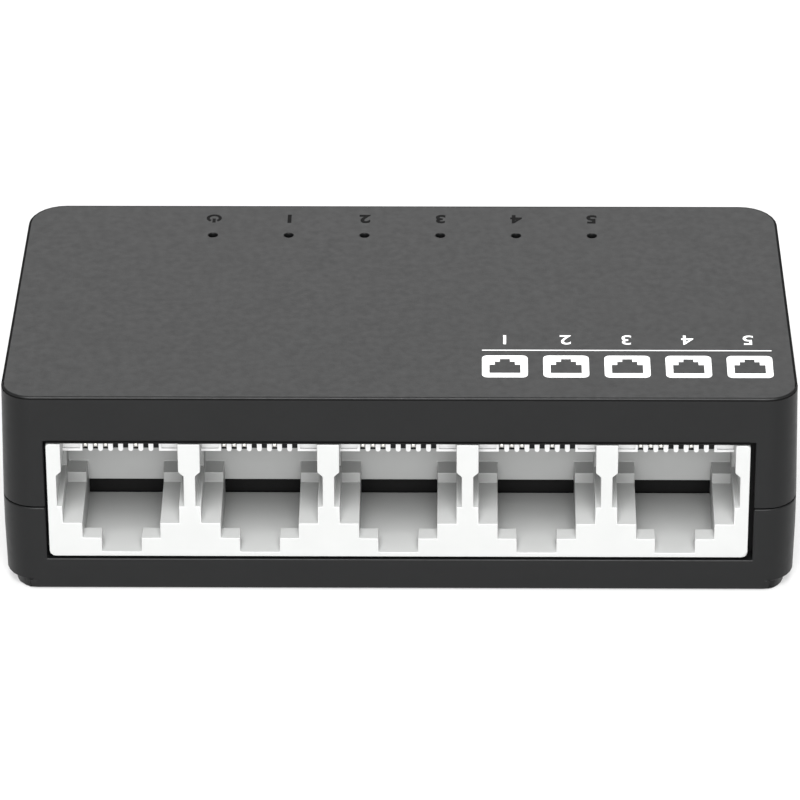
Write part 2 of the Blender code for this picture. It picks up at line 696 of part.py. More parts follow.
def make_power_jack(body_material, metal, spring_material):
    low = (JACK_FACE_X, JACK_Y - JACK_HALF_WIDTH, JACK_LOW)
    high = (JACK_FACE_X + JACK_LENGTH, JACK_Y + JACK_HALF_WIDTH, JACK_HIGH)
    body = new_object("power_jack_body", box_mesh(low, high), PARTS, body_material)
    start = (JACK_FACE_X - MM, JACK_Y, JACK_BORE_Z)
    bore_end = (JACK_FACE_X + JACK_BORE_DEPTH, JACK_Y, JACK_BORE_Z)
    bore = cylinder_mesh(start, bore_end, JACK_BORE_RADIUS, segments=28)
    combine(body, new_cutter("cut_jack_bore", bore))
    pin_hole = cylinder_mesh(start, (high[0] + MM, JACK_Y, JACK_BORE_Z), JACK_PIN_HOLE, segments=16)
    combine(body, new_cutter("cut_jack_pin_hole", pin_hole))
    leaf_slot = box_mesh(
        (JACK_FACE_X + LEAF_SLOT_FRONT, JACK_Y - LEAF_SLOT_HALF, LEAF_SLOT_LOW),
        (high[0] + MM, JACK_Y + LEAF_SLOT_HALF, JACK_BORE_Z - LEAF_SLOT_TOP_BELOW_BORE),
    )
    combine(body, new_cutter("cut_leaf_slot", leaf_slot))

    pin_tip = JACK_FACE_X + JACK_PIN_SETBACK
    pin_end = (high[0] + JACK_PIN_TAIL, JACK_Y, JACK_BORE_Z)
    pin = cylinder_mesh((pin_tip, JACK_Y, JACK_BORE_Z), pin_end, JACK_PIN_RADIUS, segments=16)
    nose = [e for e in pin.edges if all(v.co.x < pin_tip + 0.1 * MM for v in e.verts)]
    bmesh.ops.bevel(pin, geom=nose, offset=JACK_PIN_NOSE, segments=3, profile=0.5, affect="EDGES")
    new_object("power_jack_pin", pin, PARTS, metal)

    pivot = bpy.data.objects.new("power_jack_spring_pivot", None)
    pivot.location = (LEAF_PIVOT_X, JACK_Y, LEAF_PIVOT_Z)
    pivot.empty_display_size = MM
    PARTS.objects.link(pivot)
    half = LEAF_THICKNESS / 2
    bends = ((1.2, 0.0), (0.0, 0.0), (-3.6, 0.55), (-5.6, 1.75), (-7.2, 0.85))
    middle = [(x * MM, z * MM) for x, z in bends]
    outline = [(x, z - half) for x, z in middle] + [(x, z + half) for x, z in reversed(middle)]
    leaf = extruded(outline, "Y", -LEAF_HALF_WIDTH, LEAF_HALF_WIDTH)
    spring = new_object("power_jack_spring", leaf, PARTS, spring_material)
    spring.parent = pivot


# ---------------------------------------------------------------- circuit board and what is on it


def make_board(material):
    corners = [
        (-BOARD_HALF_WIDTH, BOARD_FRONT),
        (BOARD_HALF_WIDTH, BOARD_FRONT),
        (BOARD_HALF_WIDTH, BOARD_BACK),
        (-BOARD_HALF_WIDTH, BOARD_BACK),
    ]
    outline = rounded_polygon(corners, [BOARD_CORNER] * 4, 3)
    board = new_object(
        "circuit_board", extruded(outline, "Z", BOARD_TOP - BOARD_THICKNESS, BOARD_TOP), PARTS, material
    )
    holes = [(x, y, BOSS_RADIUS + 0.3 * MM) for x, y in screw_positions()]
    holes += [(BLOCK_X + side * PEG_X, BLOCK_FACE + PEG_Y, PEG_RADIUS + 0.2 * MM) for side in (-1, 1)]
    for i, (x, y, radius) in enumerate(holes):
        hole = cylinder_mesh((x, y, 0), (x, y, BOARD_TOP + MM), radius, segments=20)
        combine(board, new_cutter(f"cut_board_hole_{i}", hole))
    return board


def chip_mesh(place, size, bevel=PACKAGE_BEVEL):
    """A moulded package that stands on the board, with its upper edges bevelled."""
    low = Vector((place[0] - size[0] / 2, place[1] - size[1] / 2, BOARD_TOP + STANDOFF))
    bm = box_mesh(low, low + Vector(size))
    upper = [e for e in bm.edges if all(v.co.z > low.z + size[2] / 2 for v in e.verts)]
    bmesh.ops.bevel(bm, geom=upper, offset=bevel, segments=1, affect="EDGES")
    return bm


def make_components(resin, metal, sleeve, core):
    packages = (
        ("switch_chip", SWITCH_CHIP, resin),
        ("transformer_quad", TRANSFORMER_QUAD, resin),
        ("transformer_single", TRANSFORMER_SINGLE, resin),
        ("crystal", CRYSTAL, metal),
        ("voltage_regulator", REGULATOR, resin),
        ("power_inductor", INDUCTOR, core),
    )
    for name, package, material in packages:
        new_object(name, chip_mesh(*package), PARTS, material)
    low = BOARD_TOP + STANDOFF
    for name, x in CAPACITOR_PLACES:
        can = cylinder_mesh(
            (x, CAPACITOR_Y, low), (x, CAPACITOR_Y, low + CAPACITOR_HEIGHT), CAPACITOR_RADIUS, segments=20
        )
        rims = [e for e in can.edges if abs(e.verts[0].co.z - e.verts[1].co.z) < 1e-6]
        bmesh.ops.bevel(can, geom=rims, offset=CAPACITOR_EDGE, segments=2, profile=0.5, affect="EDGES")
        new_object(name, can, PARTS, sleeve)


def make_leds(material):
    for name, place in zip(LED_NAMES, led_positions()):
        new_object(name, chip_mesh(place, LED_SIZE), PARTS, material)


def smooth_round_pieces():
    for obj in PARTS.objects:
        if obj.type == "MESH":
            obj.data.shade_smooth()
            obj.data.set_sharp_from_angle(angle=math.radians(30))


def main():
    global PARTS, CUTTERS
    clear_scene()
    PARTS = new_collection("desktop_network_switch")
    CUTTERS = new_collection("cutters")

    case = new_material("case_plastic", (0.052, 0.053, 0.055), 0.5)
    white = new_material("socket_plastic", (0.82, 0.82, 0.81), 0.4)
    gold = new_material("contact_gold", (0.83, 0.62, 0.25), 0.3, 1.0)
    steel = new_material("plated_steel", (0.6, 0.6, 0.58), 0.35, 1.0)
    black = new_material("black_plastic", (0.02, 0.02, 0.022), 0.45)
    board = new_material("solder_mask", (0.02, 0.12, 0.05), 0.4)
    chip = new_material("chip_resin", (0.03, 0.03, 0.032), 0.55)
    rubber = new_material("foot_rubber", (0.03, 0.03, 0.03), 0.85)
    paper = new_material("label_film", (0.75, 0.75, 0.75), 0.5)
    led = new_material("led_lens", (0.7, 0.75, 0.6), 0.3)
    sleeve = new_material("capacitor_sleeve", (0.03, 0.04, 0.08), 0.4)
    ferrite = new_material("ferrite", (0.12, 0.12, 0.12), 0.7)

    openings = [
        new_cutter("cut_case_opening", case_opening_mesh()),
        new_cutter("cut_jack_opening", jack_opening_mesh()),
    ]
    make_top_cover(case, openings)
    make_bottom_cover(case, openings)
    make_screws(steel)
    make_feet(rubber)
    make_label(paper)
    make_port_block(white)
    make_contacts(gold)
    make_carriers(black)
    make_power_jack(black, steel, steel)
    make_board(board)
    make_components(chip, steel, sleeve, ferrite)
    make_leds(led)
    smooth_round_pieces()


main()
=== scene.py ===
"""The looks of a desktop network switch with five ports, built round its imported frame.

Every CAD node is shown by a finer copy with rounded edges. The copies share the frame's places, so
nothing is fitted. Metres, +Z up, ports towards -Y.
"""

import json
import math
import random

import bmesh
import bpy
from mathutils import Matrix, Vector
from mathutils.geometry import intersect_point_line

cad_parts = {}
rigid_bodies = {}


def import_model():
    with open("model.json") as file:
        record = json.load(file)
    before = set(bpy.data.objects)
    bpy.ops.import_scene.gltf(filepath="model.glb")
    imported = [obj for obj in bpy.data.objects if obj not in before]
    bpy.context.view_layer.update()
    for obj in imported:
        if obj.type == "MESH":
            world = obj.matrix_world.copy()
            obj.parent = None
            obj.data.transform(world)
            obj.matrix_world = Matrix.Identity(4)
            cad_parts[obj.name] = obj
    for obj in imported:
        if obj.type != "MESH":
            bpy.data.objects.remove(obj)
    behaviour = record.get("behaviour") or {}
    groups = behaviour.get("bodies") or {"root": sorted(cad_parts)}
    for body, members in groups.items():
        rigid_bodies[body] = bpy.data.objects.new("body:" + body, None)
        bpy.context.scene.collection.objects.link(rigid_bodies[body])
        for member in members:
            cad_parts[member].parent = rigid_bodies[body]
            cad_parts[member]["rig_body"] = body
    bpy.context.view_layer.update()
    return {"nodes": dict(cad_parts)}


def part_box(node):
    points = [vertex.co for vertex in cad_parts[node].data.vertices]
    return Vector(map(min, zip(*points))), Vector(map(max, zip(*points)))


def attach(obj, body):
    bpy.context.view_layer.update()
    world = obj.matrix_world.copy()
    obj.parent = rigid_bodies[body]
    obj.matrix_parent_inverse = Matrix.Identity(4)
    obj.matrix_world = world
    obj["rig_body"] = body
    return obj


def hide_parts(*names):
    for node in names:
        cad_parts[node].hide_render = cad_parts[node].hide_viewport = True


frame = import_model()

MM = 0.001

# ---------------------------------------------------------------- places read from the frame

NODES = frame["nodes"]
CASE_LOW, CASE_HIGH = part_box("top_cover")
CASE_TOP = CASE_HIGH.z
CASE_FRONT = CASE_LOW.y
BLOCK_LOW, BLOCK_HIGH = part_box("port_block")
BOARD_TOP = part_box("circuit_board")[1].z
PORT_COUNT = 5
PORTS = range(1, PORT_COUNT + 1)
CONTACT_SLOTS = (1, 2, 3, 6)
LED_NODES = ("led_power", *(f"led_{port}" for port in PORTS))


def middle(node):
    low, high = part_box(node)
    return (low + high) / 2


# ---------------------------------------------------------------- mesh helpers


def arc_points(centre, radius, start, end, steps):
    """Points along an arc, between two angles in degrees."""
    angles = [math.radians(start + (end - start) * i / steps) for i in range(steps + 1)]
    return [(centre[0] + radius * math.cos(a), centre[1] + radius * math.sin(a)) for a in angles]


def object_from(name, bm):
    mesh = bpy.data.meshes.new(name)
    bm.to_mesh(mesh)
    bm.free()
    obj = bpy.data.objects.new(name, mesh)
    bpy.context.scene.collection.objects.link(obj)
    return obj


def outward(bm):
    bmesh.ops.recalc_face_normals(bm, faces=bm.faces)
    return bm


def add_box(bm, low, high):
    size = Vector(high) - Vector(low)
    place = Matrix.Translation((Vector(high) + Vector(low)) / 2)
    return bmesh.ops.create_cube(bm, size=1.0, matrix=place @ Matrix.Diagonal((*size, 1.0)))


def add_skin(bm, rings):
    """The faces between closed rings of corners, with a cap at each end."""
    for first, second in zip(rings, rings[1:]):
        for i in range(len(first)):
            j = (i + 1) % len(first)
            bm.faces.new((first[i], first[j], second[j], second[i]))
    bm.faces.new(rings[0])
    bm.faces.new(rings[-1])


def dress(piece, look):
    """Gives a piece its material."""
    piece.data.materials.clear()
    piece.data.materials.append(look)


def finish_piece(piece, look):
    """Dresses a piece that stays still with the case."""
    dress(piece, look)
    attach(piece, "root")


# ---------------------------------------------------------------- materials

NOISE_DETAIL = 3.0
# Moulded plastic: the size of its cloudy patches and of its glossier ones, and how its roughness varies
CLOUD = 3 * MM
GLOSS_PATCH = 0.8 * MM
GLOSS_RANGE = (-0.03, 0.04)
# Metal: its patches, how its colour varies, the shares by which its roughness does, and its drawn lines
METAL_PATCH = 0.6 * MM
METAL_SPREAD = 0.06
METAL_GLOSS_PATCH = 0.2 * MM
METAL_GLOSS_RANGE = (0.75, 1.3)
DRAWN_LINE = 0.12 * MM
DRAWN_DEPTH = 0.002 * MM
# Where the painted shade in the depth of the sockets starts, and where it is darkest
PAINTED_SHADE_START = CASE_FRONT + 1 * MM
PAINTED_SHADE_END = CASE_FRONT + 8 * MM


class Look:
    """A Principled material in object coordinates, built up layer by layer."""

    def __init__(self, name, roughness, metallic=0.0, ior=1.5):
        self.name = name
        self.material = bpy.data.materials.new(name)
        self.material.use_nodes = True
        self.tree = self.material.node_tree
        self.shader = self.tree.nodes["Principled BSDF"]
        self.shader.inputs["Roughness"].default_value = roughness
        self.shader.inputs["Metallic"].default_value = metallic
        self.shader.inputs["IOR"].default_value = ior
        self.place = self.tree.nodes.new("ShaderNodeTexCoord").outputs["Object"]

    def node(self, kind, **settings):
        made = self.tree.nodes.new(kind)
        for name, value in settings.items():
            setattr(made, name, value)
        return made

    def link(self, start, end):
        self.tree.links.new(start, end)

    def noise(self, size, stretch=(1.0, 1.0, 1.0)):
        """Noise whose features are about size across."""
        mapping = self.node("ShaderNodeMapping")
        mapping.inputs["Scale"].default_value = stretch
        self.link(self.place, mapping.inputs["Vector"])
        made = self.node("ShaderNodeTexNoise")
        made.inputs["Scale"].default_value = 1.0 / size
        made.inputs["Detail"].default_value = NOISE_DETAIL
        self.link(mapping.outputs["Vector"], made.inputs["Vector"])
        return made.outputs["Fac"]

    def remap(self, value, low, high, start=0.3, end=0.7):
        made = self.node("ShaderNodeMapRange")
        made.inputs["From Min"].default_value = start
        made.inputs["From Max"].default_value = end
        made.inputs["To Min"].default_value = low
        made.inputs["To Max"].default_value = high
        self.link(value, made.inputs["Value"])
        return made.outputs["Result"]

    def blend(self, share, first, second):
        """A mix of two colours, each a tuple or a socket."""
        made = self.node("ShaderNodeMix", data_type="RGBA")
        self.link(share, made.inputs[0])
        for socket, colour in ((made.inputs[6], first), (made.inputs[7], second)):
            if isinstance(colour, tuple):
                socket.default_value = (*colour, 1.0)
            else:
                self.link(colour, socket)
        return made.outputs[2]

    def colour(self, value):
        self.link(value, self.shader.inputs["Base Color"])

    def tone(self, colour, spread, size):
        """The base colour, a little lighter and darker in patches."""
        dark = tuple(c * (1 - spread) for c in colour)
        light = tuple(c * (1 + spread) for c in colour)
        self.colour(self.blend(self.remap(self.noise(size), 0.0, 1.0), dark, light))

    def gloss(self, low, high, size, stretch=(1.0, 1.0, 1.0)):
        """Roughness that wanders between two values."""
        value = self.remap(self.noise(size, stretch), low, high)
        self.link(value, self.shader.inputs["Roughness"])

    def relief(self, size, depth, stretch=(1.0, 1.0, 1.0)):
        """Surface relief: features about size across and depth high."""
        bump = self.node("ShaderNodeBump")
        bump.inputs["Distance"].default_value = depth
        self.link(self.noise(size, stretch), bump.inputs["Height"])
        self.link(bump.outputs["Normal"], self.shader.inputs["Normal"])


def moulded(name, colour, roughness, ior, grain, depth, spread):
    """Moulded plastic: an even colour with a slight cloudiness and a fine grain."""
    look = Look(name, roughness, ior=ior)
    look.tone(colour, spread, CLOUD)
    look.gloss(roughness + GLOSS_RANGE[0], roughness + GLOSS_RANGE[1], GLOSS_PATCH)
    look.relief(grain, depth)
    return look


def metal(name, colour, roughness, stretch):
    """Drawn or rolled metal, with fine lines along its length."""
    look = Look(name, roughness, metallic=1.0)
    look.tone(colour, METAL_SPREAD, METAL_PATCH)
    smoothest, roughest = (roughness * share for share in METAL_GLOSS_RANGE)
    look.gloss(smoothest, roughest, METAL_GLOSS_PATCH, stretch)
    look.relief(DRAWN_LINE, DRAWN_DEPTH, stretch)
    return look


def board_look():
    """Green solder mask in faint patches, over copper traces that show a little paler."""
    look = Look("board", 0.32, ior=1.52)
    traces = look.node("ShaderNodeTexBrick", offset=0.37, squash=0.6, squash_frequency=3)
    traces.inputs["Scale"].default_value = 1.0
    traces.inputs["Mortar Size"].default_value = 0.09 * MM
    traces.inputs["Mortar Smooth"].default_value = 0.2
    traces.inputs["Brick Width"].default_value = 4.7 * MM
    traces.inputs["Row Height"].default_value = 0.62 * MM
    look.link(look.place, traces.inputs["Vector"])
    patches = look.remap(look.noise(0.5 * MM), 0.0, 1.0)
    mask = look.blend(patches, (0.004, 0.030, 0.013), (0.006, 0.040, 0.017))
    look.colour(look.blend(traces.outputs["Fac"], mask, (0.012, 0.075, 0.03)))
    look.gloss(0.26, 0.38, 0.7 * MM)
    look.relief(0.35 * MM, 0.01 * MM)
    return look


def socket_look():
    """White moulded plastic, darkened by painted shade in the depth of the sockets."""
    look = Look("socket_plastic", 0.36, ior=1.5)
    cloud = look.remap(look.noise(CLOUD), 0.0, 1.0)
    near = look.blend(cloud, (0.424, 0.429, 0.424), (0.436, 0.441, 0.436))
    # The darker colour is painted shade for the depth of the sockets.
    shaded = look.blend(cloud, (0.325, 0.329, 0.325), (0.335, 0.339, 0.335))
    place = look.node("ShaderNodeSeparateXYZ")
    look.link(look.place, place.inputs["Vector"])
    depth = look.remap(place.outputs["Y"], 0.0, 1.0, PAINTED_SHADE_START, PAINTED_SHADE_END)
    look.colour(look.blend(depth, near, shaded))
    look.gloss(0.33, 0.4, GLOSS_PATCH)
    look.relief(0.3 * MM, 0.002 * MM)
    return look


def sleeve_look():
    """The dark blue shrunk sleeve of a capacitor."""
    look = Look("capacitor_sleeve", 0.34, ior=1.5)
    look.tone((0.018, 0.024, 0.05), 0.1, 1.2 * MM)
    look.gloss(0.28, 0.42, 0.6 * MM)
    look.relief(0.5 * MM, 0.012 * MM)
    return look


# Colour, roughness, index of refraction, width of the grain, its depth, strength of the cloudiness
MOULDED_LOOKS = {
    "case_plastic": ((0.0040, 0.0042, 0.0044), 0.42, 1.33, 0.16 * MM, 0.006 * MM, 0.08),
    "carrier_plastic": ((0.004, 0.004, 0.004), 0.6, 1.25, 0.25 * MM, 0.003 * MM, 0.04),
    # The next colour is the white socket plastic made lighter: painted light on the comb's front faces,
    # which lie in the case's shade.
    "rib_plastic_lit": ((0.68, 0.68, 0.68), 0.36, 1.5, 0.3 * MM, 0.002 * MM, 0.015),
    "jack_plastic": ((0.012, 0.012, 0.013), 0.34, 1.5, 0.3 * MM, 0.003 * MM, 0.1),
    "rubber": ((0.018, 0.018, 0.018), 0.82, 1.45, 0.2 * MM, 0.02 * MM, 0.15),
    "label_film": ((0.62, 0.63, 0.64), 0.4, 1.45, 0.25 * MM, 0.002 * MM, 0.02),
    "light_ink": ((0.86, 0.86, 0.86), 0.5, 1.45, 0.1 * MM, 0.001 * MM, 0.02),
    # The next colour serves the printed signs and the painted rim shade.
    "dark_ink_and_shade": ((0.003, 0.003, 0.003), 0.6, 1.15, 0.1 * MM, 0.001 * MM, 0.1),
    "chip_resin": ((0.016, 0.016, 0.017), 0.55, 1.5, 0.1 * MM, 0.008 * MM, 0.12),
    "ferrite": ((0.05, 0.049, 0.048), 0.62, 1.6, 0.18 * MM, 0.012 * MM, 0.2),
    "led_lens": ((0.62, 0.66, 0.55), 0.22, 1.5, 0.4 * MM, 0.002 * MM, 0.05),
}
# Colour, roughness, scale of the drawn lines along each axis
METAL_LOOKS = {
    "contact_metal": ((0.78, 0.76, 0.72), 0.24, (1.0, 0.15, 1.0)),
    "plated_steel": ((0.62, 0.61, 0.58), 0.3, (0.2, 1.0, 1.0)),
    "solder": ((0.66, 0.66, 0.64), 0.28, (1.0, 1.0, 1.0)),
    "screw_steel": ((0.42, 0.42, 0.43), 0.34, (1.0, 1.0, 0.3)),
}


def make_looks():
    looks = [moulded(name, *values) for name, values in MOULDED_LOOKS.items()]
    looks += [metal(name, *values) for name, values in METAL_LOOKS.items()]
    looks += [socket_look(), board_look(), sleeve_look()]
    return {look.name: look.material for look in looks}


# ---------------------------------------------------------------- finished CAD pieces

WELD = 0.5e-6
FLAT = math.radians(0.4)
SHARP = math.radians(35)
EDGE_ROOM = 0.45
EDGE_SEGMENTS = 2
# Nodes with fine combs: their faces of many sides are split before the edges are rounded
COMBED_NODES = ("port_block", "bottom_cover")
MOST_SIDES = 4
EDGE_WIDTH = {
    "case_plastic": 0.14 * MM,
    "socket_plastic": 0.09 * MM,
    "rubber": 0.1 * MM,
    "board": 0.05 * MM,
    "chip_resin": 0.08 * MM,
    "ferrite": 0.12 * MM,
    "label_film": 0.03 * MM,
}
DEFAULT_EDGE = 0.05 * MM


def welded(node):
    """The mesh of a CAD node, with the corners that its export split joined again."""
    bm = bmesh.new()
    bm.from_mesh(NODES[node].data)
    bmesh.ops.remove_doubles(bm, verts=bm.verts, dist=WELD)
    return bm


def apart(point, edge):
    """How far a point is from an edge."""
    start, end = (v.co for v in edge.verts)
    nearest, along = intersect_point_line(point, start, end)
    if along <= 0:
        nearest = start
    elif along >= 1:
        nearest = end
    return (point - nearest).length


def room_at(edge):
    """How near the next corner is, or the next edge across one of this edge's faces."""
    near = [e.calc_length() for v in edge.verts for e in v.link_edges if e != edge]
    for face in edge.link_faces:
        for other in face.edges:
            if other.verts[0] in edge.verts or other.verts[1] in edge.verts:
                continue
            near += [apart(v.co, other) for v in edge.verts]
            near += [apart(v.co, edge) for v in other.verts]
    return min(near)


def weigh_edges(bm, width):
    """Gives each sharp edge the share of the width that its neighbours leave room for."""
    weights = bm.edges.layers.float.new("bevel_weight_edge")
    for face in bm.faces:
        face.smooth = True
    for edge in bm.edges:
        edge.smooth = True
        if len(edge.link_faces) == 2 and edge.calc_face_angle(0.0) > SHARP:
            edge[weights] = min(1.0, EDGE_ROOM * room_at(edge) / width)


def soften(obj, width):
    """Rounds the edges that carry a bevel weight, and shades the flats flat and the rounds smooth."""
    bevel = obj.modifiers.new("edge_rounding", "BEVEL")
    bevel.limit_method = "WEIGHT"
    bevel.width = width
    bevel.segments = EDGE_SEGMENTS
    bevel.use_clamp_overlap = False
    normals = obj.modifiers.new("flat_faces", "WEIGHTED_NORMAL")
    normals.keep_sharp = True


def refined(node, width):
    """A finer copy of a CAD node: one clean skin with rounded edges, which stands for the node."""
    bm = welded(node)
    bmesh.ops.dissolve_limit(bm, angle_limit=FLAT, verts=bm.verts, edges=bm.edges)
    if node in COMBED_NODES:
        bmesh.ops.triangulate(bm, faces=[face for face in bm.faces if len(face.verts) > MOST_SIDES])
    weigh_edges(bm, width)
    piece = object_from(f"{node}_finished", bm)
    for layer in ("custom_normal", "sharp_edge", "sharp_face"):
        if layer in piece.data.attributes:
            piece.data.attributes.remove(piece.data.attributes[layer])
    soften(piece, width)
    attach(piece, NODES[node]["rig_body"])
    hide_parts(node)
    return piece


def finish_nodes(looks):
    for node, obj in NODES.items():
        slot = obj.data.materials[0].name.split(".")[0]
        dress(refined(node, EDGE_WIDTH.get(slot, DEFAULT_EDGE)), looks[slot])


# ---------------------------------------------------------------- studio

CAMERA_PLACE = Vector((6.66, -505.24, 314.13)) * MM
CAMERA_PITCH = math.radians(31.0)
CAMERA_YAW = math.radians(0.7716)
CAMERA_ROLL = math.radians(-0.262)
CAMERA_LENS = 256.1
CAMERA_SENSOR = 36.0
CAMERA_CLIP = 10 * MM
WORLD_LIGHT = 0.35
WHITE = (1.0, 1.0, 1.0, 1.0)
# Name, place, width, power
SOFTBOXES = (
    ("back_softbox", (0.0, 0.9, 0.75), 0.8, 5.8),
    ("top_softbox", (0.0, -0.85, 1.62), 0.9, 38.0),
    ("front_softbox", (0.0, -1.72, 0.74), 1.2, 34.0),
    ("left_softbox", (-1.3, -0.3, 0.5), 0.6, 2.5),
    ("right_softbox", (1.3, -0.3, 0.5), 0.6, 2.5),
)
FLOOR_RADIUS = 4.0
FLOOR_SIDES = 64
FLOOR_TONE = 0.35
FLOOR_GLOW = 0.45
FLOOR_CLOUD = 0.2


def add_camera():
    data = bpy.data.cameras.new("camera")
    data.sensor_width = CAMERA_SENSOR
    data.lens = CAMERA_LENS
    data.clip_start = CAMERA_CLIP
    camera = bpy.data.objects.new("camera", data)
    turn = Matrix.Rotation(CAMERA_YAW, 4, "Z") @ Matrix.Rotation(math.pi / 2 - CAMERA_PITCH, 4, "X")
    camera.matrix_world = Matrix.Translation(CAMERA_PLACE) @ turn @ Matrix.Rotation(CAMERA_ROLL, 4, "Z")
    bpy.context.scene.collection.objects.link(camera)
    bpy.context.scene.camera = camera


def add_softbox(name, place, size, power):
    """A square area light that faces the object."""
    data = bpy.data.lights.new(name, "AREA")
    data.shape = "SQUARE"
    data.size = size
    data.energy = power
    light = bpy.data.objects.new(name, data)
    light.location = place
    light.rotation_euler = (-Vector(place)).to_track_quat("-Z", "Y").to_euler()
    bpy.context.scene.collection.objects.link(light)


def add_floor():
    """A pale floor that glows a little, so that it shows white round the object's shadow."""
    bm = bmesh.new()
    bmesh.ops.create_circle(bm, cap_ends=True, radius=FLOOR_RADIUS, segments=FLOOR_SIDES)
    floor = object_from("floor", bm)
    look = Look("pale_floor", 0.6)
    look.tone((FLOOR_TONE, FLOOR_TONE, FLOOR_TONE), 0.01, FLOOR_CLOUD)
    look.shader.inputs["Emission Color"].default_value = WHITE
    look.shader.inputs["Emission Strength"].default_value = FLOOR_GLOW
    floor.data.materials.append(look.material)


def add_world():
    world = bpy.data.worlds.new("studio")
    world.use_nodes = True
    background = world.node_tree.nodes["Background"]
    background.inputs["Color"].default_value = WHITE
    background.inputs["Strength"].default_value = WORLD_LIGHT
    bpy.context.scene.world = world


def add_studio():
    bpy.context.scene.view_settings.view_transform = "Standard"
    add_camera()
    add_world()
    for softbox in SOFTBOXES:
        add_softbox(*softbox)
    add_floor()


# ---------------------------------------------------------------- print on the case

INK = 0.012 * MM
INK_LEVEL = CASE_TOP + INK / 2
DIGIT_SHARE = 0.7  # a digit's height as a share of its font size

# The black signs by the indicator holes
SIGN_Y = CASE_FRONT + 36.9 * MM
SIGN_HEIGHT = 1.6 * MM
SIGN_BOLDNESS = 0.09 * MM
POWER_RADIUS = 0.8 * MM
POWER_LINE = 0.34 * MM
POWER_GAP = 32  # degrees on each side of the bar
POWER_BAR = (0.1, 1.15)  # the bar's ends, as shares of the ring's radius
RING_STEPS = 28

# The white legend: a socket sign and a number for each port, with a rule between
TILE_WIDTH = 4.6 * MM
TILE_HEIGHT = 4.3 * MM
TILE_GAP = 1.55 * MM
TILE_CORNER = 0.12 * TILE_WIDTH
TILE_CORNER_STEPS = 4
TILE_Y = CASE_FRONT + 6.5 * MM
LEGEND_FROM_RIGHT = 2.6 * MM
RULE_Y = CASE_FRONT + 9.7 * MM
RULE_HALF = 0.08 * MM
NUMBER_Y = CASE_FRONT + 11.9 * MM
NUMBER_HEIGHT = 1.8 * MM
NUMBER_BOLDNESS = 0.02 * MM


def ink_mesh(name, curve, x, y):
    """A mesh from a flat curve, printed on the top face and read from the back."""
    obj = bpy.data.objects.new(name, curve)
    bpy.context.scene.collection.objects.link(obj)
    obj.matrix_world = Matrix.Translation((x, y, INK_LEVEL)) @ Matrix.Rotation(math.pi, 4, "Z")
    bpy.context.view_layer.update()
    mesh = bpy.data.meshes.new_from_object(obj.evaluated_get(bpy.context.evaluated_depsgraph_get()))
    mesh.transform(obj.matrix_world)
    bpy.data.objects.remove(obj)
    piece = bpy.data.objects.new(name, mesh)
    bpy.context.scene.collection.objects.link(piece)
    return piece


def digit_curve(text, height, boldness):
    curve = bpy.data.curves.new("digit", "FONT")
    curve.body = text
    curve.size = height / DIGIT_SHARE
    curve.align_x = "CENTER"
    curve.align_y = "CENTER"
    curve.extrude = INK / 2
    curve.offset = boldness
    curve.resolution_u = 6
    return curve


def outline_curve(outlines):
    """A flat filled curve: an outline inside another is a hole."""
    curve = bpy.data.curves.new("outline", "CURVE")
    curve.dimensions = "2D"
    curve.fill_mode = "BOTH"
    curve.extrude = INK / 2
    for points in outlines:
        spline = curve.splines.new("POLY")
        spline.points.add(len(points) - 1)
        for point, (x, y) in zip(spline.points, points):
            point.co = (x, y, 0.0, 1.0)
        spline.use_cyclic_u = True
    return curve


def box_points(half_width, low, high):
    return [(-half_width, low), (half_width, low), (half_width, high), (-half_width, high)]


def power_sign(radius, line):
    """An open ring with a bar through its gap."""
    start, end = 90 + POWER_GAP, 450 - POWER_GAP
    ring = arc_points((0, 0), radius, start, end, RING_STEPS)
    ring += arc_points((0, 0), radius - line, end, start, RING_STEPS)
    return outline_curve([ring, box_points(line / 2, *(radius * share for share in POWER_BAR))])


def socket_sign(width, height):
    """A plain socket seen from the front: a filled tile with a stepped opening."""
    tile = []
    for x, y, start in ((1, -1, -90), (1, 1, 0), (-1, 1, 90), (-1, -1, 180)):
        centre = (x * (width / 2 - TILE_CORNER), y * (height / 2 - TILE_CORNER))
        tile += arc_points(centre, TILE_CORNER, start, start + 90, TILE_CORNER_STEPS)
    steps = ((0.34, 0.30), (0.34, -0.08), (0.22, -0.08), (0.22, -0.22), (0.11, -0.22), (0.11, -0.34))
    right = [(x * width, y * height) for x, y in steps]
    opening = right + [(-x, y) for x, y in reversed(right)]
    return outline_curve([tile, opening])


def add_signs(looks):
    signs = [power_sign(POWER_RADIUS, POWER_LINE)]
    signs += [digit_curve(str(port), SIGN_HEIGHT, SIGN_BOLDNESS) for port in PORTS]
    for node, curve in zip(LED_NODES, signs):
        sign = ink_mesh(f"{node}_sign", curve, middle(node).x, SIGN_Y)
        finish_piece(sign, looks["dark_ink_and_shade"])


def add_legend(looks):
    pitch = TILE_WIDTH + TILE_GAP
    last = CASE_HIGH.x - LEGEND_FROM_RIGHT - TILE_WIDTH / 2
    for port in PORTS:
        x = last - (PORT_COUNT - port) * pitch
        tile = ink_mesh(f"legend_socket_{port}", socket_sign(TILE_WIDTH, TILE_HEIGHT), x, TILE_Y)
        finish_piece(tile, looks["light_ink"])
        digit = digit_curve(str(port), NUMBER_HEIGHT, NUMBER_BOLDNESS)
        number = ink_mesh(f"legend_number_{port}", digit, x, NUMBER_Y)
        finish_piece(number, looks["light_ink"])
    reach = (PORT_COUNT - 1) * pitch
    rule = outline_curve([box_points((reach + TILE_WIDTH) / 2, -RULE_HALF, RULE_HALF)])
    finish_piece(ink_mesh("legend_rule", rule, last - reach / 2, RULE_Y), looks["light_ink"])


# ---------------------------------------------------------------- contact leads

